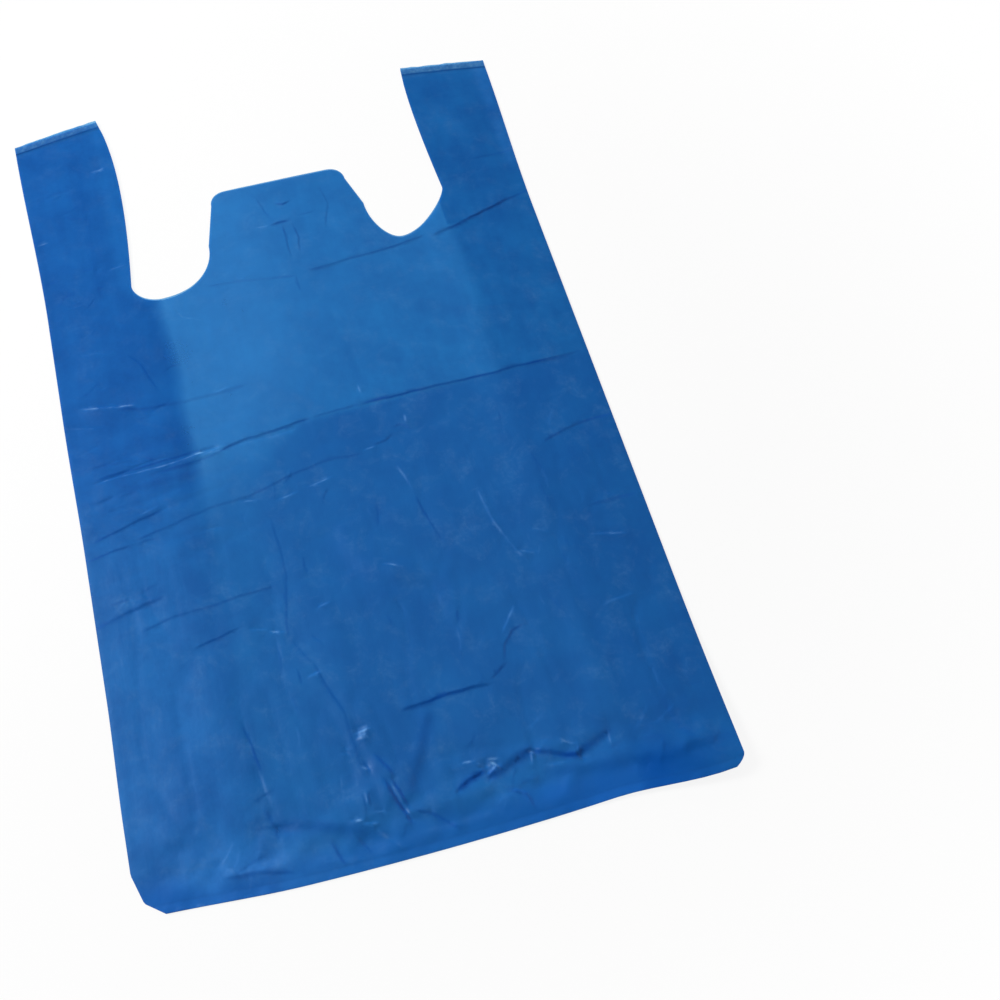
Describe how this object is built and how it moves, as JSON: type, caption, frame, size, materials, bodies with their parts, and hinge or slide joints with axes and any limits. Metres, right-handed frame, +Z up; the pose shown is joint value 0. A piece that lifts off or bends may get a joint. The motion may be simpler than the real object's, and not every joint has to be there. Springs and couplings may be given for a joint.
{
  "type": "film carrier bag",
  "caption": "Flat-lying blue plastic film carrier bag with gusseted sides, loop handles cut from the film and welded bottom and handle tops, for carrying shopping.",
  "frame": {"origin": "middle of the underside of the flat-lying bag", "axes": "+Z up from the table, +Y from the bottom seal towards the handles, +X to the right across the bag"},
  "size_m": [0.2702, 0.4504, 0.0078],
  "materials": {
    "blue_film": "thin, slightly translucent polyethylene film with a soft sheen and packing creases"
  },
  "bodies": {
    "root": {"bag_film": "blue_film"}
  },
  "joints": []
}
